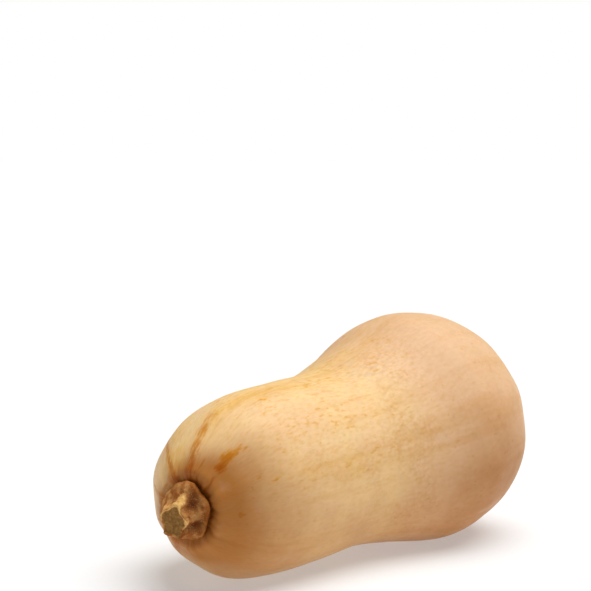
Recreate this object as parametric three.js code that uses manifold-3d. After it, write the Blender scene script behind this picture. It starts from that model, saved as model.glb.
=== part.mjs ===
// A butternut squash lying on its side: one grown fruit and the cut stump of its stem.
// Millimetres, +Z up. The long axis runs along X with the stem towards -X, the fruit rests on the
// plane z = 0, and the origin is under the middle of the bounding box.
import * as THREE from 'three';
import * as BufferGeometryUtils from 'three/addons/utils/BufferGeometryUtils.js';
import Module from 'manifold-3d';

const { clamp, degToRad, smoothstep } = THREE.MathUtils;

// Driving dimensions of the fruit.
const FRUIT_LENGTH = 228;
const BULB_RADIUS = 59.3;
const NECK_RADIUS = 46.3;
const SEAT_RADIUS = 18; // the shallow dish round the stem ends at this rim

// Stations along the fruit, from the bottom of the dish that holds the stem, out over its rim, along
// the neck and the bulb and round to the dimple at the blossom end. Each station gives its place as a
// share of the length, its radius, how far the centre of its section lies to the side (+Y), and how
// high that centre is. The neck bends gently to one side and lies lower than the bulb.
const FRUIT_STATIONS = [
	[ 0.015, 0, 4.0, 40.5 ],
	[ 0.010, SEAT_RADIUS * 0.5, 4.0, 40.3 ],
	[ 0.0025, SEAT_RADIUS * 0.8, 3.8, 40.2 ],
	[ 0.000, SEAT_RADIUS, 3.7, 40.1 ],
	[ 0.014, NECK_RADIUS * 0.47, 4.1, 40.4 ],
	[ 0.050, NECK_RADIUS * 0.65, 5.3, 41.2 ],
	[ 0.115, NECK_RADIUS * 0.865, 7.0, 42.6 ],
	[ 0.210, NECK_RADIUS * 0.976, 8.0, 44.2 ],
	[ 0.330, NECK_RADIUS, 6.1, 45.8 ],
	[ 0.450, NECK_RADIUS * 0.994, 1.9, 48.4 ],
	[ 0.570, BULB_RADIUS * 0.875, - 2.5, 52.5 ],
	[ 0.680, BULB_RADIUS, - 4.8, 56.1 ],
	[ 0.780, BULB_RADIUS * 0.975, - 5.5, 57.4 ],
	[ 0.870, BULB_RADIUS * 0.88, - 5.7, 58.0 ],
	[ 0.945, BULB_RADIUS * 0.666, - 5.8, 57.5 ],
	[ 0.985, BULB_RADIUS * 0.354, - 5.8, 56.9 ],
	[ 0.998, BULB_RADIUS * 0.15, - 5.8, 56.7 ],
	[ 0.993, 0, - 5.8, 56.7 ],
];

// The sections are not quite round. Each lobing swells the radius a number of times round the fruit,
// by a share of the radius, with its crest at an angle in degrees from +Y towards +Z.
const LOBINGS = [
	{ folds: 2, neck: { swell: 0.0165, crest: - 7.8 }, bulb: { swell: 0.0206, crest: 28.1 } },
	{ folds: 3, neck: { swell: 0.0209, crest: 3.8 }, bulb: { swell: 0.0241, crest: - 21.8 } },
	{ folds: 5, neck: { swell: 0.0051, crest: - 7.7 }, bulb: { swell: 0.007, crest: 10.6 } },
];
const NECK_LOBING_ENDS = 0.36;
const BULB_LOBING_STARTS = 0.68;
const LOBING_FADE = 0.1; // share of the length, at each end, over which the lobes die out

// Driving dimensions of the stem stump.
const STEM_HEIGHT = 15;
const SKIRT_RADIUS = 13.5;
const STUMP_RADIUS = 7.6;
const STEM_SAG = 3.2; // how far the cut end hangs below the middle of the skirt
const RIDGES = 5;
const RIDGE_ANGLE = degToRad( 85 ); // where one of the ridges runs, from -Y towards +Z

// Stations of the stump, from its hidden foot over the lip of the skirt and the waist to the rim and
// the sunken pith of the cut end: height above the bottom of the dish, mean radius, and how far the
// ridges stand out as a share of that radius.
const STEM_STATIONS = [
	[ - 1, 0, 0 ],
	[ - 1, SKIRT_RADIUS * 0.67, 0.02 ],
	[ 1.5, SKIRT_RADIUS * 0.9, 0.03 ],
	[ 3.6, SKIRT_RADIUS, 0.05 ],
	[ 5.4, SKIRT_RADIUS * 0.96, 0.06 ],
	[ 7.2, SKIRT_RADIUS * 0.8, 0.1 ],
	[ 9.2, STUMP_RADIUS * 1.13, 0.15 ],
	[ 11.8, STUMP_RADIUS * 1.01, 0.15 ],
	[ STEM_HEIGHT - 0.6, STUMP_RADIUS, 0.13 ],
	[ STEM_HEIGHT, STUMP_RADIUS * 0.92, 0.13 ],
	[ STEM_HEIGHT - 0.5, STUMP_RADIUS * 0.68, 0.12 ],
	[ STEM_HEIGHT - 0.8, 0, 0 ],
];

const GAP = 0.3; // clearance between the stem and the fruit
const FLOOR_BLOCK = 400; // side of the block that is cut away below z = 0

const wasm = await Module();
wasm.setup();

// A closed surface from a function of two parameters: t runs from the first pole to the last, and the
// angle runs once round. The rings between the poles share their vertices.
function closedSurface( pointAt, ringCount, segmentCount ) {

	const positions = [];
	const indices = [];
	positions.push( ...pointAt( 0, 0 ).toArray() );
	for ( let ring = 1; ring < ringCount; ring ++ ) {

		for ( let segment = 0; segment < segmentCount; segment ++ ) {

			const angle = 2 * Math.PI * segment / segmentCount;
			positions.push( ...pointAt( ring / ringCount, angle ).toArray() );

		}

	}

	positions.push( ...pointAt( 1, 0 ).toArray() );
	const lastPole = positions.length / 3 - 1;
	const index = ( ring, segment ) => 1 + ( ring - 1 ) * segmentCount + segment % segmentCount;
	for ( let segment = 0; segment < segmentCount; segment ++ ) {

		indices.push( 0, index( 1, segment + 1 ), index( 1, segment ) );
		for ( let ring = 1; ring < ringCount - 1; ring ++ ) {

			const [ a, b ] = [ index( ring, segment ), index( ring, segment + 1 ) ];
			const [ c, d ] = [ index( ring + 1, segment ), index( ring + 1, segment + 1 ) ];
			indices.push( a, b, c, b, d, c );

		}

		indices.push( index( ringCount - 1, segment ), index( ringCount - 1, segment + 1 ), lastPole );

	}

	const geometry = new THREE.BufferGeometry();
	geometry.setAttribute( 'position', new THREE.Float32BufferAttribute( positions, 3 ) );
	geometry.setIndex( indices );
	return geometry;

}

// The share by which the fruit's radius swells at a place along its length and round its section.
function lobeSwell( share, angle ) {

	const bulbward = smoothstep( share, NECK_LOBING_ENDS, BULB_LOBING_STARTS );
	const fade = clamp( share / LOBING_FADE, 0, 1 ) * clamp( ( 1 - share ) / LOBING_FADE, 0, 1 );
	let swell = 0;
	for ( const { folds, neck, bulb } of LOBINGS ) {

		const neckLobe = neck.swell * Math.cos( folds * ( angle - degToRad( neck.crest ) ) );
		const bulbLobe = bulb.swell * Math.cos( folds * ( angle - degToRad( bulb.crest ) ) );
		swell += fade * ( ( 1 - bulbward ) * neckLobe + bulbward * bulbLobe );

	}

	return swell;

}

const fruitProfile = new THREE.SplineCurve(
	FRUIT_STATIONS.map( ( [ share, radius ] ) => new THREE.Vector2( share * FRUIT_LENGTH, radius ) ) );
const fruitCentreLine = new THREE.SplineCurve(
	FRUIT_STATIONS.map( ( [ , , side, height ] ) => new THREE.Vector2( side, height ) ) );

// A point of the skin before the resting flats are cut.
function fruitPoint( t, angle ) {

	const { x: along, y: radius } = fruitProfile.getPoint( t );
	const { x: side, y: height } = fruitCentreLine.getPoint( t );
	const swollen = Math.max( radius, 0 ) * ( 1 + lobeSwell( along / FRUIT_LENGTH, angle ) );
	return new THREE.Vector3(
		along - FRUIT_LENGTH / 2,
		side + swollen * Math.cos( angle ),
		height + swollen * Math.sin( angle ) );

}

const stemProfile = new THREE.SplineCurve(
	STEM_STATIONS.map( ( [ height, radius ] ) => new THREE.Vector2( height, radius ) ) );
const stemFluting = new THREE.SplineCurve(
	STEM_STATIONS.map( ( [ height, , fluting ] ) => new THREE.Vector2( height, fluting ) ) );

// A point of the stump. It grows out of the dish towards -X, and its axis curves down towards the cut.
function stemPoint( t, angle ) {

	const seat = fruitPoint( 0, 0 );
	const { x: height, y: radius } = stemProfile.getPoint( t );
	const fluting = stemFluting.getPoint( t ).y;
	const ridged = Math.max( radius, 0 ) * ( 1 + fluting * Math.cos( RIDGES * ( angle - RIDGE_ANGLE ) ) );
	const sag = STEM_SAG * Math.sign( height ) * ( height / STEM_HEIGHT ) ** 2;
	return new THREE.Vector3(
		seat.x - height,
		seat.y - ridged * Math.cos( angle ),
		seat.z - sag + ridged * Math.sin( angle ) );

}

function toSolid( geometry ) {

	const bare = geometry.clone();
	bare.deleteAttribute( 'normal' );
	bare.deleteAttribute( 'uv' );
	const merged = BufferGeometryUtils.mergeVertices( bare );
	return new wasm.Manifold( new wasm.Mesh( {
		numProp: 3,
		vertProperties: Float32Array.from( merged.attributes.position.array ),
		triVerts: Uint32Array.from( merged.index.array ),
	} ) );

}

function toGeometry( solid ) {

	const { vertProperties, triVerts } = solid.getMesh();
	const geometry = new THREE.BufferGeometry();
	geometry.setAttribute( 'position', new THREE.BufferAttribute( vertProperties, 3 ) );
	geometry.setIndex( new THREE.BufferAttribute( triVerts, 1 ) );
	return geometry;

}

// A copy of a closed surface with every vertex moved out along its normal.
function grown( geometry, distance ) {

	const copy = geometry.clone();
	copy.computeVertexNormals();
	const { position, normal } = copy.attributes;
	const moved = new THREE.Vector3();
	const outward = new THREE.Vector3();
	for ( let vertex = 0; vertex < position.count; vertex ++ ) {

		moved.fromBufferAttribute( position, vertex );
		outward.fromBufferAttribute( normal, vertex );
		moved.addScaledVector( outward, distance );
		position.setXYZ( vertex, moved.x, moved.y, moved.z );

	}

	return copy;

}

// The fruit, with two shallow flats where it rests: one under the bulb and one under the neck.
function fruitGeometry( skin ) {

	const floorBlock = new THREE.BoxGeometry( FLOOR_BLOCK, FLOOR_BLOCK, FLOOR_BLOCK );
	floorBlock.translate( 0, 0, - FLOOR_BLOCK / 2 );
	return toGeometry( toSolid( skin ).subtract( toSolid( floorBlock ) ) );

}

// The stump, its foot shaped to the dish with a thin gap.
function stemGeometry( skin ) {

	const stump = closedSurface( stemPoint, 2 * ( STEM_STATIONS.length - 1 ), 8 * RIDGES );
	return toGeometry( toSolid( stump ).subtract( toSolid( grown( skin, GAP ) ) ) );

}

const skin = closedSurface( fruitPoint, 3 * ( FRUIT_STATIONS.length - 1 ), 60 );

const fruit = new THREE.Mesh(
	fruitGeometry( skin ),
	new THREE.MeshStandardMaterial( { color: '#e0b47a', roughness: 0.48, metalness: 0 } ) );
fruit.name = 'fruit';

const stem = new THREE.Mesh(
	stemGeometry( skin ),
	new THREE.MeshStandardMaterial( { color: '#8a5a3c', roughness: 0.85, metalness: 0 } ) );
stem.name = 'stem';

const group = new THREE.Group();
group.add( fruit, stem );

// Put the middle of the bounding box over the origin.
const middle = new THREE.Box3().setFromObject( group ).getCenter( new THREE.Vector3() );
group.position.set( - middle.x, - middle.y, 0 );

export default group;
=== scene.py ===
"""A butternut squash lying on its side, with the corky stump of its cut stem.

The stem points towards -X and the blossom end towards +X. Everything is in metres, in the frame of the
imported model. Angles round the fruit run from +Y towards +Z, so a quarter turn is the top of the fruit.
"""

from itertools import product

import bpy
import numpy as np
from mathutils import Matrix, Vector


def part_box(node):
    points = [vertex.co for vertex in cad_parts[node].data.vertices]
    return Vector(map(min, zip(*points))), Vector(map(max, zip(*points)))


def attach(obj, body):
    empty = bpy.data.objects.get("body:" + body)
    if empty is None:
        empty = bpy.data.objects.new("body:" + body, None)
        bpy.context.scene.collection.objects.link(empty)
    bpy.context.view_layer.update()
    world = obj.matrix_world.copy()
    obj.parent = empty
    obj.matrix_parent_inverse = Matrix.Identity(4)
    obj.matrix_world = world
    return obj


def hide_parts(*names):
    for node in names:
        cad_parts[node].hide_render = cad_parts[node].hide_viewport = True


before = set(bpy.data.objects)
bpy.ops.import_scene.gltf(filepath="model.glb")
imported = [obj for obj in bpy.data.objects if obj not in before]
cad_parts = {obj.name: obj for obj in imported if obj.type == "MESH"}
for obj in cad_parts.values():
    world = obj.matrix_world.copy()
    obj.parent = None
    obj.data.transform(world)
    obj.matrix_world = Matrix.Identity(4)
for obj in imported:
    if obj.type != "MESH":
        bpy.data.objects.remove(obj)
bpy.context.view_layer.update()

MM = 0.001
TURN = 2 * np.pi

# The fruit's sizes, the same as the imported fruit's. Its surface is stretched to that fruit's box.
FRUIT_LENGTH = 228 * MM
BULB = 59.3 * MM
NECK = 46.3 * MM
SEAT = 18 * MM  # radius of the rim of the shallow dish that the stem sits in

# Along the fruit from the bottom of the dish to the dimple at the blossom end: share of the length,
# radius, how far the middle of the section lies to the side, and how high it lies. The shares, the
# radii of the first four rows and the last three, and the radii and heights at 0.78 and 0.87 were
# given one by one. The rest, with BULB and NECK, is the rounded result of a least-squares fit.
FRUIT_STATIONS = (
    (0.015, 0, 4.0 * MM, 40.5 * MM),
    (0.010, SEAT * 0.5, 4.0 * MM, 40.3 * MM),
    (0.0025, SEAT * 0.8, 3.8 * MM, 40.2 * MM),
    (0.000, SEAT, 3.7 * MM, 40.1 * MM),
    (0.014, NECK * 0.47, 4.1 * MM, 40.4 * MM),
    (0.050, NECK * 0.65, 5.3 * MM, 41.2 * MM),
    (0.115, NECK * 0.865, 7.0 * MM, 42.6 * MM),
    (0.210, NECK * 0.976, 8.0 * MM, 44.2 * MM),
    (0.330, NECK, 6.1 * MM, 45.8 * MM),
    (0.450, NECK * 0.994, 1.9 * MM, 48.4 * MM),
    (0.570, BULB * 0.875, -2.5 * MM, 52.5 * MM),
    (0.680, BULB, -4.8 * MM, 56.1 * MM),
    (0.780, BULB * 0.975, -5.5 * MM, 57.4 * MM),
    (0.870, BULB * 0.88, -5.7 * MM, 58.0 * MM),
    (0.945, BULB * 0.666, -5.8 * MM, 57.5 * MM),
    (0.985, BULB * 0.354, -5.8 * MM, 56.9 * MM),
    (0.998, BULB * 0.15, -5.8 * MM, 56.7 * MM),
    (0.993, 0, -5.8 * MM, 56.7 * MM),
)

SHOULDER = 5  # the station that is well past the rim of the dish

# How the sections differ from circles: folds round the fruit, then the swell as a share of the radius
# and the angle of a crest in degrees, on the neck and on the bulb. They are the same fit's result, as
# it gave them.
LOBINGS = (
    (2, 0.0165, -7.8, 0.0206, 28.1),
    (3, 0.0209, 3.8, 0.0241, -21.8),
    (5, 0.0051, -7.7, 0.007, 10.6),
)
NECK_LOBING_ENDS = 0.36
BULB_LOBING_STARTS = 0.68
LOBING_FADE = 0.1

# The ribs, one over each of the strands that run from the stem to the blossom end.
RIB_COUNT = 10
FIRST_RIB = np.radians(15)

# The stump of the stem.
STEM_HEIGHT = 15 * MM
SKIRT = 13.5 * MM
STUMP = 7.6 * MM
STEM_SAG = 3.2 * MM  # how far the cut hangs below the middle of the foot
STEM_DROP = 0.8 * MM  # how far the whole stump sits below the seat point
FOOT_LEAN = 1.0 * MM  # how far the foot lies towards +Y
CUT_LEAN = 1.9 * MM  # how far the cut has come back towards -Y from there
RIDGE_ANGLES = np.radians((-198, -133, -59, 0, 74))  # at the cut, from -Y towards +Z
STEM_TWIST = np.radians(13)  # how far the ridges have turned by the time they reach the skirt
SEAT_CLEARANCE = 0.15 * MM

# From the hidden foot over the lip of the skirt and the waist to the rim and the sunken pith: height
# above the bottom of the dish, radius, and how far the ridges stand out as a share of the radius.
STEM_STATIONS = (
    (0.2 * MM, 0, 0),
    (0.2 * MM, SKIRT * 0.67, 0.02),
    (1.5 * MM, SKIRT * 0.9, 0.03),
    (3.6 * MM, SKIRT, 0.05),
    (5.4 * MM, SKIRT * 0.96, 0.06),
    (7.2 * MM, SKIRT * 0.8, 0.1),
    (9.2 * MM, STUMP * 1.13, 0.15),
    (11.8 * MM, STUMP * 1.01, 0.15),
    (14.4 * MM, STUMP, 0.13),
    (15.0 * MM, STUMP * 0.92, 0.13),
    (14.5 * MM, STUMP * 0.68, 0.12),
    (14.2 * MM, 0, 0),
)

FLOOR_DROP = 0.2 * MM  # the floor lies just below the flats, so that the two never share a plane


# --- Curves, noise and closed surfaces ------------------------------------------------------------


def spline(stations, t):
    """The uniform Catmull-Rom curve through the rows of stations, at every t from 0 to 1.

    Between two stations it is the cubic that meets both and leaves each one along half the step
    between its neighbours. The end stations count as their own outer neighbours."""
    stations = np.asarray(stations, float)
    last = len(stations) - 1
    place = np.clip(t, 0, 1) * last
    low = np.minimum(place.astype(int), last - 1)
    w = (place - low)[:, None]
    before, start, end, after = (stations[np.clip(low + step, 0, last)] for step in (-1, 0, 1, 2))
    leaving, arriving = (end - before) / 2, (after - start) / 2
    cubic = 2 * start - 2 * end + leaving + arriving
    square = -3 * start + 3 * end - 2 * leaving - arriving
    return cubic * w**3 + square * w**2 + leaving * w + start


def smooth_step(value, low, high):
    """0 below low, 1 above high, and 3w^2 - 2w^3 between them."""
    w = np.clip((value - low) / (high - low), 0, 1)
    return w * w * (3 - 2 * w)


def hill(value, middle, width):
    """A bell of height 1 round the middle: e to the minus square of the distance in widths."""
    return np.exp(-(((value - middle) / width) ** 2))


def angle_from(angle, middle):
    """The turn from middle to angle, between minus and plus half a turn."""
    return (angle - middle + np.pi) % TURN - np.pi


def lumps(points, size, seed):
    """Smooth random heights between -1 and 1, with lumps about as wide as size.

    Seeded random values on a cubic lattice, blended between the eight corners of each cell with a
    smooth step."""
    lattice = np.random.default_rng(seed).uniform(-1, 1, (32, 32, 32))
    place = points / size
    corner = np.floor(place).astype(int)
    blend = smooth_step(place - corner, 0, 1)
    total = np.zeros(points.shape[:-1])
    for offset in product((0, 1), repeat=3):
        weight = np.prod(np.where(offset, blend, 1 - blend), axis=-1)
        x, y, z = np.moveaxis((corner + offset) % 32, -1, 0)
        total += weight * lattice[x, y, z]
    return total


def evenly_spaced(stations, count, finer):
    """Values of t for count rings, spaced evenly along the profile times its wanted fineness.

    The profile is the curve's first two columns, and finer gives the fineness at each point of it
    from the length so far and the length still to go."""
    t = np.linspace(0, 1, 6000)
    curve = spline(stations, t)
    steps = np.hypot(np.diff(curve[:, 0]), np.diff(curve[:, 1]))
    so_far = np.concatenate(([0], np.cumsum(steps)))
    fineness = finer(so_far, so_far[-1] - so_far)
    weighed = np.concatenate(([0], np.cumsum(steps * (fineness[1:] + fineness[:-1]) / 2)))
    return np.interp(np.linspace(0, weighed[-1], count + 1), weighed, t)


def pushed_out(points, height):
    """The grid of points, each moved along the surface's normal by its height.

    The normal is the cross product of the step round the section and the step along the profile."""
    around = np.roll(points, -1, axis=1) - np.roll(points, 1, axis=1)
    along = np.gradient(points, axis=0)
    normal = np.cross(around, along)
    length = np.linalg.norm(normal, axis=-1, keepdims=True)
    return points + normal / np.maximum(length, 1e-12) * height[..., None]


def closed_mesh(name, points, attributes):
    """A smooth closed mesh from a grid of rings whose first and last ring are the two poles.

    Each attribute is a grid of numbers or of vectors, and goes to the vertices under its own name."""

    def by_vertex(grid):
        return np.concatenate((grid[:1, 0], grid[1:-1].reshape(-1, *grid.shape[2:]), grid[-1:, 0]))

    rings, around = points.shape[0] - 2, points.shape[1]
    index = 1 + np.arange(rings * around).reshape(rings, around)
    onward = np.roll(index, -1, axis=1)
    quads = np.stack((index[:-1], onward[:-1], onward[1:], index[1:]), axis=-1).reshape(-1, 4)
    last = rings * around + 1
    first_fan = np.stack((np.zeros(around, int), onward[0], index[0]), axis=-1)
    last_fan = np.stack((index[-1], onward[-1], np.full(around, last)), axis=-1)

    mesh = bpy.data.meshes.new(name)
    faces = quads.tolist() + first_fan.tolist() + last_fan.tolist()
    mesh.from_pydata(by_vertex(points), [], faces)
    mesh.shade_smooth()
    for title, grid in attributes.items():
        values = by_vertex(grid)
        kind, field = ("FLOAT_VECTOR", "vector") if values.ndim == 2 else ("FLOAT", "value")
        attribute = mesh.attributes.new(title, kind, "POINT")
        attribute.data.foreach_set(field, values.astype(np.float32).ravel())
    piece = bpy.data.objects.new(name, mesh)
    bpy.context.scene.collection.objects.link(piece)
    return piece


# --- The fruit ------------------------------------------------------------------------------------


def lobe_swell(share, angle):
    """The sum of the lobings: each is a cosine round the fruit, blended from its neck form to its
    bulb form along the length and faded out at both ends."""
    bulbward = smooth_step(share, NECK_LOBING_ENDS, BULB_LOBING_STARTS)
    fade = np.clip(share / LOBING_FADE, 0, 1) * np.clip((1 - share) / LOBING_FADE, 0, 1)
    swell = 0
    for folds, neck, neck_crest, bulb, bulb_crest in LOBINGS:
        on_neck = neck * np.cos(folds * (angle - np.radians(neck_crest)))
        on_bulb = bulb * np.cos(folds * (angle - np.radians(bulb_crest)))
        swell = swell + fade * ((1 - bulbward) * on_neck + bulbward * on_bulb)
    return swell


def fruit_grid(rings, around):
    """The fruit's bare surface: circles round the centre line, swollen by the lobes.

    Gives the points and, on the same grid, the share of the length, the length along the skin from
    the bottom of the dish, the angle and the radius."""
    t = evenly_spaced(
        np.asarray(FRUIT_STATIONS) * (FRUIT_LENGTH, 1, 1, 1),
        rings,
        lambda so_far, to_go: 1 + 2.5 * np.exp(-so_far / (22 * MM)) + 2 * np.exp(-to_go / (12 * MM)),
    )
    share, radius, side, height = spline(FRUIT_STATIONS, t).T[:, :, None]
    steps = np.hypot(np.diff(share * FRUIT_LENGTH, axis=0), np.diff(radius, axis=0))
    along = np.concatenate(([[0]], np.cumsum(steps, axis=0)))
    angle = np.linspace(0, TURN, around, endpoint=False)[None, :]
    radius = np.maximum(radius, 0) * (1 + lobe_swell(share, angle))
    share, along, angle = np.broadcast_arrays(share, along, angle, radius)[:3]
    points = np.stack(
        (share * FRUIT_LENGTH, side + radius * np.cos(angle), height + radius * np.sin(angle)), axis=-1
    )
    return points, share, along, angle, radius


def skin_relief(points, along, angle, radius):
    """How far the skin stands out from the bare surface.

    Broad and small lumps, shallow furrows between the ribs that are deepest near both ends, radial
    puckers in the dish round the stem, and a low ring round the blossom scar."""
    to_go = along.max() - along
    rib_wave = np.cos(RIB_COUNT * (angle - FIRST_RIB) + 0.7 * lumps(points, 45 * MM, 11))
    rib_depth = 0.10 + 0.34 * np.exp(-along / (55 * MM)) + 0.34 * np.exp(-to_go / (60 * MM))
    relief = rib_depth * MM * rib_wave * smooth_step(radius, 4 * MM, 16 * MM)
    relief += 0.42 * MM * lumps(points, 34 * MM, 1)
    relief += 0.13 * MM * lumps(points, 12 * MM, 2)
    relief += 0.035 * MM * lumps(points, 4.5 * MM, 3)
    pucker = np.cos(26 * angle + 2.2 * lumps(points, 8 * MM, 4))
    relief += 0.16 * MM * pucker * hill(radius, 16 * MM, 5 * MM) * (along < 60 * MM)
    scar_ring = 0.5 * hill(radius, 5.2 * MM, 1.3 * MM) - 0.5 * hill(radius, 0, 3 * MM)
    scar_creases = 0.22 * np.cos(9 * angle + 2 * lumps(points, 5 * MM, 5)) * hill(radius, 7 * MM, 4 * MM)
    relief += (scar_ring + scar_creases) * MM * (to_go < 60 * MM)
    return relief


# Brown streaks that run out from the stem: half width in millimetres, then points along the streak, each
# with its share of the length, its angle in degrees and its strength.
STREAKS = (
    (
        1.8,
        ((0, 57, 0.8), (0.02, 50, 1.05), (0.046, 44, 1.1), (0.10, 36, 0.9), (0.16, 33, 0.3), (0.22, 32, 0)),
    ),
    (
        3.0,
        ((0, 89, 0.8), (0.038, 85, 1.0), (0.067, 84, 1.0), (0.09, 85, 0.7), (0.13, 86, 0.4), (0.2, 91, 0)),
    ),
    (0.9, ((0, 133, 0.9), (0.006, 130, 0.8), (0.02, 127, 0.2), (0.05, 126, 0))),
    (1.2, ((0, 104, 0.5), (0.02, 103, 0.3), (0.05, 102, 0))),
    (1.8, ((0, 12, 0.7), (0.05, 9, 0.8), (0.12, 8, 0.5), (0.2, 10, 0))),
    (1.3, ((0, -24, 0.5), (0.06, -22, 0.6), (0.15, -20, 0))),
    (2.2, ((0, -62, 0.8), (0.05, -60, 0.9), (0.14, -57, 0.6), (0.25, -55, 0))),
)

# Yellow bands, in the same form. Two are wide and soft: one next to the stem and one near the crest.
YELLOW_BANDS = (
    (
        5.5,
        (
            (0.04, 84, 0.4),
            (0.11, 88, 1.1),
            (0.17, 93, 1.1),
            (0.25, 98, 0.9),
            (0.32, 104, 0.6),
            (0.5, 110, 0),
        ),
    ),
    (17.0, ((0.1, 70, 0), (0.2, 74, 0.5), (0.4, 78, 0.5), (0.6, 76, 0.5), (0.72, 70, 0.2), (0.8, 70, 0))),
    (3.5, ((0.03, 42, 0.4), (0.12, 36, 0.7), (0.3, 40, 0.5), (0.45, 44, 0))),
    (12.0, ((0.0, 60, 1.2), (0.03, 52, 1.1), (0.07, 48, 0.7), (0.14, 50, 0.3), (0.2, 50, 0))),
    (5.0, ((0.05, 8, 0.5), (0.2, 8, 0.8), (0.4, 4, 0))),
    (5.0, ((0.05, -60, 0.5), (0.2, -56, 0.9), (0.45, -54, 0))),
    (4.0, ((0.16, 163, 0.2), (0.3, 166, 0.45), (0.42, 169, 0.35), (0.55, 172, 0))),
)

# Pale bands, in the same form.
PALE_BANDS = (
    (4.5, ((0.08, 147, 0.2), (0.2, 149, 0.9), (0.36, 151, 0.8), (0.5, 152, 0.3), (0.6, 153, 0))),
    (4.0, ((0.02, 68, 0.3), (0.08, 66, 0.9), (0.2, 68, 0.4), (0.4, 72, 0))),
    (3.0, ((0.0, 30, 0.8), (0.06, 22, 0.9), (0.2, 20, 0))),
    (4.0, ((0.05, -40, 0.6), (0.2, -36, 0.7), (0.5, -30, 0))),
)

# Ochre marks on the skin: share of the length, angle in degrees, half length along and half width round
# the fruit in millimetres, and strength.
MARKS = (
    (0.027, 125.5, 2.3, 2.2, 1.2),
    (0.040, 124, 3.4, 2.4, 1.2),
    (0.058, 126, 3.2, 1.3, 1.0),
    (0.071, 129, 1.8, 0.7, 0.7),
    (0.032, 182, 1.4, 1.8, 0.65),
    (0.070, 154, 2.6, 1.7, 0.55),
    (0.097, 160, 2.8, 1.7, 0.5),
    (0.135, 146, 6.0, 1.8, 0.4),
    (0.110, 106, 3.5, 1.2, 0.5),
    (0.160, 118, 5.0, 2.0, 0.35),
    (0.200, 106, 6.5, 3.4, 0.42),
    (0.385, 103, 3.0, 0.7, 0.7),
    (0.410, 102, 4.0, 0.7, 0.8),
    (0.430, 89, 2.0, 1.0, 0.6),
    (0.525, 121, 1.3, 0.8, 0.85),
    (0.532, 124, 1.0, 0.7, 0.7),
    (0.340, 172, 9.0, 2.8, 0.28),
    (0.590, 92, 2.5, 1.6, 0.5),
    (0.707, 129, 1.3, 1.0, 0.75),
    (0.529, 154, 1.4, 1.0, 0.5),
    (0.607, 152, 1.0, 1.2, 0.6),
    (0.660, 158, 1.2, 0.8, 0.5),
    (0.560, 262, 4.2, 1.4, 0.6),
    (0.140, 318, 6.0, 1.8, 0.7),
    (0.720, 330, 2.0, 1.6, 0.6),
    (0.430, 20, 5.0, 1.3, 0.7),
    (0.820, 60, 1.6, 1.4, 0.6),
    (0.880, 250, 1.8, 1.2, 0.6),
)


def marks_field(share, angle, radius):
    """How deep each point lies in a mark: the mark's strength in its middle, 0 at its edge and less
    outside, down to minus one. Each is its strength less half the squared distance in mark sizes."""
    field = np.full(share.shape, -1.0)
    for mark_share, mark_angle, size_along, size_round, strength in MARKS:
        off_along = (share - mark_share) * FRUIT_LENGTH / (size_along * MM)
        off_round = angle_from(angle, np.radians(mark_angle)) * radius / (size_round * MM)
        field = np.maximum(field, strength - 0.5 * (off_along**2 + off_round**2))
    return field


def bands_field(bands, share, angle, radius):
    """How strongly each point lies in one of the bands.

    Each band gives its strength at that share of the length times a bell across its width. Its middle
    and its strength run straight from one of its points to the next."""
    field = np.zeros(share.shape)
    for half_width, path in bands:
        path_share, path_angle, path_strength = np.asarray(path).T
        middle = np.radians(np.interp(share, path_share, path_angle))
        strength = np.interp(share, path_share, path_strength, left=0, right=0)
        across = angle_from(angle, middle) * radius / (half_width * MM)
        field = np.maximum(field, strength * np.exp(-(across**2)))
    return field


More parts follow.
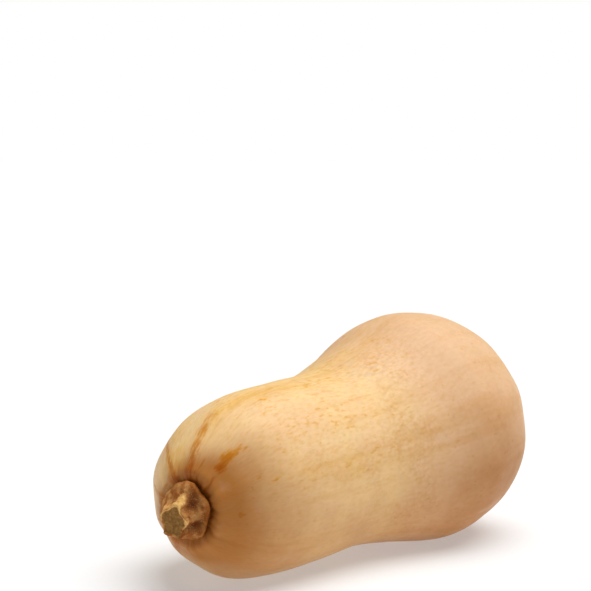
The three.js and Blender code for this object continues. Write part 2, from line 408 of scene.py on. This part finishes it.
def skin_fields(share, along, angle, radius):
    """The maps that the skin's material reads, each a grid of numbers.

    flow holds the length along the skin and the cosine and sine of the angle, times the neck's
    radius, so a pattern on it runs along the fruit and gathers towards both ends."""
    on_axis = radius > 0
    to_go = along.max() - along
    stem_half = along < 60 * MM
    upward = np.sin(angle)
    facing_out = np.cos(angle_from(angle, np.radians(165)))
    # out_side is strongest on the side of the fruit towards the camera.
    out_side = 0.3 + 0.7 * smooth_step(np.cos(angle_from(angle, np.radians(187))), -0.7, 0.5)
    low_side = smooth_step(np.cos(angle_from(angle, np.radians(245))), 0.2, 0.95)

    ring = 0.6 * hill(radius, 13 * MM, 8 * MM) * stem_half
    reach = (12 + 18 * smooth_step(np.cos(angle_from(angle, np.radians(182))), 0.1, 0.95)) * MM
    past_seat = np.maximum(along - 20 * MM, 0) / reach
    # Tan round the stem, strongest on the side towards the camera: partly the skin's own colour, partly
    # painted shade.
    seat_tan_and_shade = (1.05 - 0.35 * low_side) * np.exp(-(past_seat**1.3)) * out_side
    # Painted shade, partly the skin's own ground colour: warmer, darker tan towards the underside.
    underside_shade = smooth_step(-upward, -0.35, 0.75) * 0.44
    # Painted shade, partly the skin's own tan: a warm patch on the bulb's flank towards the camera.
    bulb_flank = 0.34 * hill(share, 0.73, 0.16) * hill(angle_from(angle, np.radians(192)), 0, np.radians(32))
    bulb_warmth = 0.12 * smooth_step(share, 0.5, 0.75)
    contact_side = smooth_step(np.cos(angle_from(angle, np.radians(160))), 0.1, 0.8)
    return {
        "flow": np.stack((along, NECK * np.cos(angle) * on_axis, NECK * np.sin(angle) * on_axis), -1),
        "tan_and_shade": np.clip(ring + seat_tan_and_shade + underside_shade + bulb_flank + bulb_warmth, 0, 1.3),
        "streak": bands_field(STREAKS, np.maximum(share, 0), angle, radius) * (radius > 9 * MM),
        "yellow_band": bands_field(YELLOW_BANDS, share, angle, radius),
        "pale_band": bands_field(PALE_BANDS, share, angle, radius),
        "marks": marks_field(share, angle, radius),
        "neckward": 1 - smooth_step(share, 0.42, 0.62),
        "flecked": smooth_step(share, 0.03, 0.12)
        * (1 - 0.85 * smooth_step(share, 0.5, 0.66))
        * (1 - 0.8 * smooth_step(np.cos(angle_from(angle, np.radians(235))), 0.3, 0.7)),
        "pale_cells": hill(share, 0.50, 0.15) * (0.35 + 0.65 * smooth_step(facing_out, -0.3, 0.7)),
        "greyed": hill(share, 0.49, 0.05) * hill(angle_from(angle, np.radians(112)), 0, np.radians(11)),
        "pale_underside": smooth_step(-upward, 0.1, 0.6) * smooth_step(share, 0.55, 0.8),
        # Brown in the dish round the stem, strongest on the side towards the camera: partly the skin's own
        # colour, partly painted shade.
        "seat": hill(radius, 13 * MM, 5 * MM) * stem_half * out_side,
        # Painted shadow: a narrow dark brown ring where the lip of the stem meets the skin, strongest
        # towards the camera.
        "stem_contact_shadow": hill(radius, 13 * MM, 1.5 * MM) * stem_half * contact_side,
        "scar": (1 - smooth_step(radius, 4.2 * MM, 6.2 * MM)) * (to_go < 40 * MM),
    }


def stretched_to(points, low, high):
    """The points, scaled and moved along each axis so that their box runs from low to high."""
    own_low, own_high = points.min((0, 1)), points.max((0, 1))
    return low + (points - own_low) * (high - low) / (own_high - own_low)


def make_fruit():
    """The fruit's skin: the bare surface with its relief, pressed flat where it rests, in the CAD
    fruit's box."""
    low, high = (np.array(corner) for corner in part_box("fruit"))
    points, share, along, angle, radius = fruit_grid(rings=300, around=320)
    points = pushed_out(points, skin_relief(points, along, angle, radius))
    points[..., 2] = np.maximum(points[..., 2], 0)
    fields = skin_fields(share, along, angle, radius)
    piece = closed_mesh("squash_fruit", stretched_to(points, low, high), fields)
    piece.data.materials.append(skin_material())
    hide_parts("fruit")
    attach(piece, "root")


# --- The stem -------------------------------------------------------------------------------------


def seat_height(radius):
    """How high the fruit's skin stands above the bottom of the dish, at a distance from its middle."""
    t = np.linspace(0, SHOULDER / (len(FRUIT_STATIONS) - 1), 200)
    share, skin_radius = spline(FRUIT_STATIONS, t).T[:2]
    return np.interp(radius, skin_radius, (FRUIT_STATIONS[0][0] - share) * FRUIT_LENGTH)


def seat_point():
    """The middle of the dish's bottom, where the stump's own coordinates start."""
    low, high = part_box("fruit")
    to_side = 8.3 * MM  # from the middle of the fruit's box
    bottom_share, _, _, rise = FRUIT_STATIONS[0]
    return np.array((low.x + bottom_share * FRUIT_LENGTH, (low.y + high.y) / 2 + to_side, rise))


def stem_relief(points, height, ridge):
    """How far the cork stands out: coarse and fine lumps, pits that only go inwards, and creases
    that run up the stump beside its ridges."""
    relief = 0.42 * MM * lumps(points, 3.6 * MM, 21) + 0.22 * MM * lumps(points, 1.7 * MM, 22)
    relief += 0.12 * MM * lumps(points, 0.8 * MM, 23)
    pits = smooth_step(lumps(points, 2.2 * MM, 24), 0.25, 0.8)
    relief -= 0.7 * MM * pits * smooth_step(height, 4 * MM, 6 * MM)
    creases = lumps(points * (0.25, 1, 1), 0.9 * MM, 25)
    relief += 0.22 * MM * creases * smooth_step(height, 6 * MM, 9 * MM) * (0.4 + 0.6 * ridge)
    return relief


def stem_grid(rings, around):
    """The stump's bare surface: ridged circles up a centre line that leans and sags towards the cut.

    Each ridge is the crest of a cosine whose phase grows by a turn from one ridge to the next.

    Gives the points and, on the same grid, the height, the share of the way along the profile, the
    angle and how much of a ridge each point is on."""
    t = evenly_spaced(STEM_STATIONS, rings, lambda so_far, to_go: np.ones_like(so_far))
    height, radius, fluting = spline(STEM_STATIONS, t).T[:, :, None]
    angle = np.linspace(0, TURN, around, endpoint=False)[None, :]
    twisted = angle - STEM_TWIST * (1 - smooth_step(height, 3 * MM, 12 * MM))
    ends = np.append(RIDGE_ANGLES, RIDGE_ANGLES[0] + TURN)
    phase = np.interp((twisted - ends[0]) % TURN + ends[0], ends, np.arange(len(ends)))
    wave = np.cos(TURN * phase)
    ridge = 0.5 + 0.5 * np.sign(wave) * np.abs(wave) ** 0.8
    radius = np.maximum(radius, 0) * (1 + fluting * wave)
    height, t, angle, ridge = np.broadcast_arrays(height, t[:, None], angle, ridge)
    sag = STEM_SAG * (height / STEM_HEIGHT) ** 2
    side = FOOT_LEAN - CUT_LEAN * smooth_step(height, 2 * MM, 13 * MM) - radius * np.cos(angle)
    rise = radius * np.sin(angle) - sag - STEM_DROP
    points = np.stack((-height, side, rise), axis=-1)
    return points, height, t, angle, ridge


def make_stem(seat):
    """The stump, its foot pressed to the dish round the seat point, in its own place on the fruit."""
    points, height, t, angle, ridge = stem_grid(rings=300, around=300)
    relief = stem_relief(points, height, ridge)
    cut_face = smooth_step(t, 0.855, 0.885)
    fibre = lumps(points * (0.4, 1, 1), 1.1 * MM, 26) + 0.6 * lumps(points, 0.5 * MM, 27)
    relief = relief * (1 - cut_face) + 0.22 * MM * fibre * cut_face
    points = pushed_out(points, relief)
    from_middle = np.hypot(points[..., 1], points[..., 2])
    under_lip = height < 6 * MM
    lowest = seat_height(from_middle) + SEAT_CLEARANCE
    points[..., 0] = np.where(under_lip, -np.maximum(-points[..., 0], lowest), points[..., 0])

    # near_side is the side of the stump towards the camera.
    near_side = smooth_step(np.cos(angle_from(angle, np.radians(5))), -0.1, 0.6)
    worn = ridge * smooth_step(height, 6 * MM, 10.5 * MM) * (0.55 + 0.45 * np.cos(angle - np.radians(105)))
    upper_right = smooth_step(np.cos(angle_from(angle, np.radians(40))), -0.2, 0.9)
    rim = hill(t, 0.83 - 0.02 * upper_right, 0.03 + 0.03 * upper_right) * (0.55 + 0.45 * np.sin(angle + 0.3))
    fields = {
        "worn": np.clip(worn + rim, 0, 1) * (1 - cut_face),
        "cut": cut_face,
        # Painted shade in the grooves between the ridges and on the side of the stump towards the camera.
        "stem_shade": (0.45 + 0.75 * (1 - ridge) * hill(height, 7.6 * MM, 3 * MM)) * near_side * (1 - cut_face),
        "lip": hill(height, 3.0 * MM, 1.5 * MM) * (0.3 + 0.7 * near_side) * (1 - cut_face),
    }
    piece = closed_mesh("squash_stem", points + seat, fields)
    piece.data.materials.append(stem_material())
    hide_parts("stem")
    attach(piece, "root")


# --- Materials ------------------------------------------------------------------------------------


def paint(code):
    """A colour for a socket, from its hexadecimal display code."""
    shown = np.array([int(code[place : place + 2], 16) for place in (1, 3, 5)]) / 255
    light = np.where(shown <= 0.04045, shown / 12.92, ((shown + 0.055) / 1.055) ** 2.4)
    return (*light, 1.0)


class Nodes:
    """Adds nodes to one tree. Arguments are sockets or plain values, and results are sockets."""

    def __init__(self, tree):
        self.tree = tree

    def add(self, kind, inputs, **settings):
        """One new node, with its settings made and its inputs linked or set, by name or by place."""
        made = self.tree.nodes.new(kind)
        for name, value in settings.items():
            setattr(made, name, value)
        for key, value in inputs.items():
            if isinstance(value, bpy.types.NodeSocket):
                self.tree.links.new(value, made.inputs[key])
            else:
                made.inputs[key].default_value = value
        return made

    def group(self, tree, **inputs):
        """A placed node group, its inputs given by name with underscores for spaces."""
        made = self.tree.nodes.new("ShaderNodeGroup")
        made.node_tree = tree
        for name, value in inputs.items():
            socket = made.inputs[name.replace("_", " ")]
            if isinstance(value, bpy.types.NodeSocket):
                self.tree.links.new(value, socket)
            else:
                socket.default_value = value
        return made.outputs[0]

    def attribute(self, name, output="Fac"):
        return self.add("ShaderNodeAttribute", {}, attribute_name=name).outputs[output]

    def object_place(self):
        return self.add("ShaderNodeTexCoord", {}).outputs["Object"]

    def math(self, operation, *values):
        return self.add("ShaderNodeMath", dict(enumerate(values)), operation=operation).outputs[0]

    def scaled(self, vector, by):
        return self.add("ShaderNodeVectorMath", {0: vector, 1: by}, operation="MULTIPLY").outputs[0]

    def ramp(self, value, low, high):
        """0 at low and 1 at high, with a smooth step between them."""
        inputs = {"Value": value, "From Min": low, "From Max": high}
        return self.add("ShaderNodeMapRange", inputs, interpolation_type="SMOOTHSTEP").outputs[0]

    def mix(self, share, first, second, blend="MIX"):
        inputs = {0: share, 6: first, 7: second}
        return self.add("ShaderNodeMix", inputs, data_type="RGBA", blend_type=blend).outputs[2]

    def noise(self, place, size, detail=2.0):
        inputs = {"Vector": place, "Scale": 1 / size, "Detail": detail}
        return self.add("ShaderNodeTexNoise", inputs).outputs["Fac"]

    def cells(self, place, size):
        """The distance to the middle of the nearest cell, with cells about as wide as size."""
        inputs = {"Vector": place, "Scale": 1 / size}
        return self.add("ShaderNodeTexVoronoi", inputs, feature="F1").outputs["Distance"]

    def sum_of(self, first, second):
        return self.add("ShaderNodeVectorMath", {0: first, 1: second}, operation="ADD").outputs[0]


def effect_group(name, inputs, output, build):
    """A shader node group with named inputs and one output, made once.

    inputs maps each name to its socket type and default, output is the result's name and type, and
    build gets the nodes and the inputs and gives the result."""
    tree = bpy.data.node_groups.new(name, "ShaderNodeTree")
    for title, (kind, default) in inputs.items():
        socket = tree.interface.new_socket(title, in_out="INPUT", socket_type=kind)
        if default is not None:
            socket.default_value = default
    tree.interface.new_socket(output[0], in_out="OUTPUT", socket_type=output[1])
    start = tree.nodes.new("NodeGroupInput")
    finish = tree.nodes.new("NodeGroupOutput")
    result = build(Nodes(tree), start.outputs)
    tree.links.new(result, finish.inputs[0])
    return tree


VECTOR, FLOAT = "NodeSocketVector", "NodeSocketFloat"


def build_patches(nodes, given):
    """Soft irregular patches: fractal noise at a scale, stepped smoothly from Start to Full."""
    inputs = {"Vector": given["Place"], "Scale": given["Scale"], "Detail": given["Detail"]}
    noise = nodes.add("ShaderNodeTexNoise", inputs).outputs["Fac"]
    return nodes.ramp(noise, given["Start"], given["Full"])


def build_specks(nodes, given):
    """Separate specks: a speck in the middle of each Voronoi cell, as wide as Reach cells, on only
    the Share of the cells whose own random number is low enough."""
    inputs = {"Vector": given["Place"], "Scale": given["Scale"]}
    warp = nodes.add("ShaderNodeTexNoise", inputs).outputs["Color"]
    inputs = {0: given["Place"], 3: given["Scale"]}
    sized = nodes.add("ShaderNodeVectorMath", inputs, operation="SCALE").outputs[0]
    place = nodes.sum_of(sized, nodes.scaled(warp, (0.9, 0.9, 0.9)))
    cell = nodes.add("ShaderNodeTexVoronoi", {"Vector": place, "Scale": 1.0}, feature="F1")
    chance = nodes.add("ShaderNodeSeparateColor", {0: cell.outputs["Color"]}).outputs[0]
    chosen = nodes.math("LESS_THAN", chance, given["Share"])
    edge = nodes.math("MULTIPLY", given["Reach"], 0.35)
    near = nodes.ramp(cell.outputs["Distance"], given["Reach"], edge)
    return nodes.math("MULTIPLY", near, chosen)


PATCHES = effect_group(
    "soft_patches",
    {
        "Place": (VECTOR, None),
        "Scale": (FLOAT, 100.0),
        "Detail": (FLOAT, 3.0),
        "Start": (FLOAT, 0.45),
        "Full": (FLOAT, 0.65),
    },
    ("Mask", FLOAT),
    build_patches,
)
SPECKS = effect_group(
    "scattered_specks",
    {"Place": (VECTOR, None), "Scale": (FLOAT, 500.0), "Share": (FLOAT, 0.3), "Reach": (FLOAT, 0.35)},
    ("Mask", FLOAT),
    build_specks,
)


def skin_colour(nodes, place, flow):
    """The skin's colour, laid down in coats.

    Cream on the neck and peach on the bulb with clouds and warm tan, the tan partly painted shade on the
    underside and the side towards the camera, then pale and yellow bands, long fine grain, pale cells at the
    waist, flecks, brown streaks and ochre marks with ragged edges, grey patches, pale drawn-out patches on
    the underside of the bulb, the brown seat of the stem that is partly painted shade, a painted shadow
    where the stem meets the skin, and the blossom scar."""

    def times(*values):
        product_so_far = values[0]
        for value in values[1:]:
            product_so_far = nodes.math("MULTIPLY", product_so_far, value)
        return product_so_far

    def centred(value, reach):
        return times(nodes.math("SUBTRACT", value, 0.5), reach)

    def stained(mask, red, green, blue):
        """The coat, with its three channels multiplied where the mask is 1."""
        return nodes.mix(mask, coat, (red, green, blue, 1), blend="MULTIPLY")

    long_flow = nodes.scaled(flow, (0.45, 1, 1))
    neckward = nodes.attribute("neckward")
    coat = nodes.mix(neckward, paint("#f2c99e"), paint("#fad49a"))
    clouds = nodes.noise(place, 34 * MM, 2.0)
    coat = nodes.mix(times(nodes.ramp(clouds, 0.35, 0.7), 0.4), coat, paint("#f4c79c"))
    # Warm tan: partly the skin's own colour, partly painted shade on the underside and the side towards the
    # camera.
    tan_and_shade = nodes.math("ADD", nodes.attribute("tan_and_shade"), centred(nodes.noise(place, 16 * MM, 4.0), 0.3))
    coat = nodes.mix(nodes.ramp(tan_and_shade, -0.1, 1.0), coat, paint("#b97a3c"))

    bands = nodes.noise(nodes.scaled(flow, (0.07, 1, 1)), 8 * MM, 3.0)
    coat = stained(times(nodes.ramp(bands, 0.5, 0.75), 0.5), 0.89, 0.76, 0.56)
    frayed = nodes.noise(long_flow, 3.0 * MM, 4.0)
    pale = times(nodes.attribute("pale_band"), nodes.ramp(frayed, 0.2, 0.6), 0.6)
    coat = nodes.mix(pale, coat, paint("#fad9a8"))
    yellow = times(nodes.attribute("yellow_band"), nodes.ramp(frayed, 0.25, 0.65), 0.9)
    coat = stained(yellow, 0.94, 0.82, 0.44)

    grain = nodes.noise(long_flow, 1.6 * MM, 5.0)
    fine = nodes.math("ADD", times(nodes.attribute("flecked"), 0.3), 0.2)
    coat = stained(times(nodes.ramp(grain, 0.44, 0.72), fine), 0.91, 0.76, 0.50)
    coat = stained(times(nodes.ramp(grain, 0.5, 0.3), 0.6), 1.04, 1.05, 1.06)

    bent = nodes.add("ShaderNodeTexNoise", {"Vector": place, "Scale": 400.0}).outputs["Color"]
    wavy = nodes.sum_of(nodes.scaled(bent, (0.002, 0.002, 0.002)), place)
    cells_here = nodes.group(PATCHES, Place=place, Scale=60.0, Detail=2.0, Start=0.36, Full=0.6)
    cells_here = times(nodes.attribute("pale_cells"), cells_here)
    cell = nodes.cells(wavy, 2.0 * MM)
    coat = stained(times(nodes.ramp(cell, 0.6, 0.1), cells_here, 0.7), 1.04, 1.06, 1.12)
    coat = stained(times(nodes.ramp(cell, 0.4, 0.8), cells_here, 0.45), 0.94, 0.83, 0.66)

    dash = nodes.noise(nodes.scaled(flow, (0.42, 1, 1)), 1.9 * MM, 6.0)
    dash_here = nodes.group(PATCHES, Place=long_flow, Scale=75.0, Detail=3.0, Start=0.42, Full=0.66)
    dash = times(nodes.ramp(dash, 0.54, 0.68), dash_here, nodes.attribute("flecked"))
    coat = stained(dash, 0.92, 0.77, 0.44)
    dots = nodes.group(SPECKS, Place=place, Scale=330.0, Share=0.12, Reach=0.3)
    coat = stained(times(dots, 0.5), 0.92, 0.74, 0.40)

    ragged = centred(nodes.noise(nodes.scaled(flow, (0.45, 1, 1)), 2.2 * MM, 5.0), 3.4)
    streak = nodes.ramp(nodes.math("ADD", nodes.attribute("streak"), times(ragged, 0.6)), 0.15, 1.1)
    coat = stained(streak, 0.80, 0.52, 0.20)
    uneven = centred(nodes.noise(nodes.scaled(flow, (0.6, 1, 1)), 2.0 * MM, 5.0), 2.4)
    depth = nodes.math("ADD", nodes.attribute("marks"), uneven)
    coat = stained(nodes.ramp(depth, 0.15, 0.85), 0.94, 0.75, 0.32)
    coat = stained(nodes.ramp(depth, 0.6, 1.2), 0.91, 0.72, 0.15)

    grey_here = nodes.group(PATCHES, Place=place, Scale=330.0, Detail=3.0, Start=0.48, Full=0.62)
    coat = nodes.mix(times(nodes.attribute("greyed"), grey_here, 0.3), coat, paint("#d8b9a8"))
    bloom = nodes.group(PATCHES, Place=place, Scale=90.0, Detail=5.0, Start=0.56, Full=0.8)
    coat = nodes.mix(times(bloom, 0.2), coat, paint("#dcb79f"))
    drawn_out = nodes.scaled(flow, (0.25, 1, 1))
    # Pale drawn-out patches on the underside of the bulb.
    pale_streaks = nodes.group(PATCHES, Place=drawn_out, Scale=260.0, Detail=5.0, Start=0.55, Full=0.68)
    coat = nodes.mix(times(pale_streaks, nodes.attribute("pale_underside"), 0.28), coat, paint("#dcbfa6"))

    rays = nodes.noise(nodes.scaled(flow, (0.2, 1, 1)), 3.0 * MM, 3.0)
    # The seat coat: partly the skin's own brown, partly painted shade in the dish round the stem.
    seat = times(nodes.attribute("seat"), nodes.math("ADD", times(rays, 0.5), 0.35))
    coat = nodes.mix(times(seat, 0.8), coat, paint("#96591f"))
    # Painted shadow where the lip of the stem meets the skin.
    coat = nodes.mix(times(nodes.attribute("stem_contact_shadow"), 0.75), coat, paint("#7a3c08"))
    scar_grain = nodes.group(PATCHES, Place=place, Scale=900.0, Detail=3.0, Start=0.35, Full=0.65)
    scar = nodes.mix(scar_grain, paint("#6d4a2e"), paint("#b08a5c"))
    return nodes.mix(nodes.attribute("scar"), coat, scar)


def skin_material():
    """Waxy, softly satin squash skin."""
    material = bpy.data.materials.new("squash_skin")
    material.use_nodes = True
    nodes = Nodes(material.node_tree)
    shader = material.node_tree.nodes["Principled BSDF"]
    place = nodes.object_place()
    flow = nodes.attribute("flow", "Vector")
    material.node_tree.links.new(skin_colour(nodes, place, flow), shader.inputs["Base Color"])

    wax = nodes.noise(place, 6 * MM, 4.0)
    rough = nodes.math("ADD", nodes.math("MULTIPLY", wax, 0.16), 0.38)
    rough = nodes.math("ADD", rough, nodes.math("MULTIPLY", nodes.attribute("scar"), 0.35))
    material.node_tree.links.new(rough, shader.inputs["Roughness"])

    pores = nodes.noise(place, 0.9 * MM, 3.0)
    grain = nodes.noise(nodes.scaled(flow, (0.35, 1, 1)), 1.5 * MM, 3.0)
    height = nodes.math("ADD", nodes.math("MULTIPLY", pores, 0.6), grain)
    bump = nodes.add("ShaderNodeBump", {"Height": height, "Distance": 0.06 * MM, "Strength": 0.55})
    material.node_tree.links.new(bump.outputs[0], shader.inputs["Normal"])
    shader.inputs["IOR"].default_value = 1.45
    shader.inputs["Specular IOR Level"].default_value = 0.14
    shader.inputs["Subsurface Weight"].default_value = 0.35
    shader.inputs["Subsurface Radius"].default_value = (1.0, 0.4, 0.15)
    shader.inputs["Subsurface Scale"].default_value = 5 * MM
    return material


def stem_material():
    """Dry reddish cork with pale specks, worn straw-coloured ridges and a brown cut, with painted shade
    between the ridges and on the side towards the camera.
    """
    material = bpy.data.materials.new("stem_cork")
    material.use_nodes = True
    nodes = Nodes(material.node_tree)
    shader = material.node_tree.nodes["Principled BSDF"]
    place = nodes.object_place()

    blotches = nodes.group(PATCHES, Place=place, Scale=260.0, Detail=4.0, Start=0.36, Full=0.66)
    cork = nodes.mix(blotches, paint("#a86229"), paint("#d49a58"))
    # Painted shade between the ridges and on the side towards the camera.
    stem_shade = nodes.math("MULTIPLY", nodes.attribute("stem_shade"), 0.8)
    cork = nodes.mix(stem_shade, cork, paint("#65300c"))
    lip = nodes.math("MULTIPLY", nodes.attribute("lip"), 0.7)
    cork = nodes.mix(lip, cork, paint("#b8681c"))
    pale = nodes.group(SPECKS, Place=place, Scale=1500.0, Share=0.5, Reach=0.45)
    cork = nodes.mix(nodes.math("MULTIPLY", pale, 0.3), cork, paint("#dcb080"))

    fraying = nodes.math("MULTIPLY", nodes.math("SUBTRACT", nodes.noise(place, 1.6 * MM, 4.0), 0.5), 0.9)
    worn = nodes.ramp(nodes.math("ADD", nodes.attribute("worn"), fraying), 0.42, 0.85)
    straw = nodes.mix(nodes.noise(place, 1.2 * MM, 3.0), paint("#d08a38"), paint("#f6d48c"))
    cork = nodes.mix(worn, cork, straw)

    pith_spots = nodes.group(PATCHES, Place=place, Scale=620.0, Detail=4.0, Start=0.25, Full=0.85)
    pith = nodes.mix(pith_spots, paint("#87602f"), paint("#b5854a"))
    colour = nodes.mix(nodes.attribute("cut"), cork, pith)
    material.node_tree.links.new(colour, shader.inputs["Base Color"])

    height = nodes.math("ADD", nodes.noise(place, 0.7 * MM, 4.0), nodes.math("MULTIPLY", pale, 0.3))
    bump = nodes.add("ShaderNodeBump", {"Height": height, "Distance": 0.35 * MM, "Strength": 0.8})
    material.node_tree.links.new(bump.outputs[0], shader.inputs["Normal"])
    shader.inputs["Roughness"].default_value = 0.86
    shader.inputs["Specular IOR Level"].default_value = 0.1
    return material


# --- Floor, light and camera ----------------------------------------------------------------------


def make_floor():
    """A wide plain floor that glows faintly, so that it looks white and lights the fruit from below."""
    half = 6.0  # half its side, in metres
    corners = [(x, y, -FLOOR_DROP) for x, y in ((-half, -half), (half, -half), (half, half), (-half, half))]
    mesh = bpy.data.meshes.new("floor")
    mesh.from_pydata(corners, [], [(0, 1, 2, 3)])
    floor = bpy.data.objects.new("floor", mesh)
    bpy.context.scene.collection.objects.link(floor)
    material = bpy.data.materials.new("floor_white")
    material.use_nodes = True
    shader = material.node_tree.nodes["Principled BSDF"]
    shader.inputs["Base Color"].default_value = (0.6, 0.6, 0.6, 1)
    shader.inputs["Roughness"].default_value = 1.0
    shader.inputs["Specular IOR Level"].default_value = 0.0
    shader.inputs["Emission Color"].default_value = (1, 1, 1, 1)
    shader.inputs["Emission Strength"].default_value = 0.34
    mesh.materials.append(material)


def make_sun(name, towards, strength, spread):
    """A sun that shines from the direction towards it, with an angle of spread in degrees."""
    data = bpy.data.lights.new(name, "SUN")
    data.energy = strength
    data.angle = np.radians(spread)
    lamp = bpy.data.objects.new(name, data)
    bpy.context.scene.collection.objects.link(lamp)
    lamp.rotation_euler = Vector(towards).to_track_quat("Z", "Y").to_euler()


def make_light():
    """A large soft light from above, a weak one from the camera's left, and a dim even surrounding
    that the camera sees as white."""
    make_sun("overhead_softbox", (0.22, -0.20, 1.0), 3.3, 55)
    make_sun("side_fill", (-0.35, 0.8, 0.45), 0.3, 60)
    world = bpy.data.worlds.new("studio")
    world.use_nodes = True
    nodes = Nodes(world.node_tree)
    background = world.node_tree.nodes["Background"]
    seen = nodes.add("ShaderNodeLightPath", {}).outputs["Is Camera Ray"]
    strength = nodes.add("ShaderNodeMapRange", {"Value": seen, "To Min": 0.11, "To Max": 1.0}).outputs[0]
    world.node_tree.links.new(strength, background.inputs["Strength"])
    background.inputs["Color"].default_value = (1, 1, 1, 1)
    bpy.context.scene.world = world
    bpy.context.scene.view_settings.view_transform = "Standard"


def make_camera():
    """A long lens, low and towards the stem's end, with the squash in the lower right of the view.

    Its direction, lens and offsets are a least-squares fit's result, for a distance that was chosen."""
    azimuth, elevation = np.radians((-52.26, 5.76))
    distance = 900 * MM
    level = np.cos(elevation)
    back = Vector((np.sin(azimuth) * level, -np.cos(azimuth) * level, np.sin(elevation)))
    right = Vector((np.cos(azimuth), np.sin(azimuth), 0))
    up = back.cross(right)
    low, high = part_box("fruit")
    middle = (low + high) / 2
    off_middle_x, off_middle_y, above_rest = 0.28 * MM, 4.3 * MM, 50 * MM
    leftward, upward = 23.5 * MM, 80 * MM
    aim = Vector((middle.x + off_middle_x, middle.y + off_middle_y, above_rest))
    aim = aim - leftward * right + upward * up
    data = bpy.data.cameras.new("camera")
    data.sensor_width = 36.0
    data.lens = 107.7
    camera = bpy.data.objects.new("camera", data)
    bpy.context.scene.collection.objects.link(camera)
    turn = Matrix((right, up, back)).transposed().to_4x4()
    camera.matrix_world = Matrix.Translation(aim + distance * back) @ turn
    bpy.context.scene.camera = camera


make_camera()
make_light()
make_floor()
make_fruit()
make_stem(seat_point())
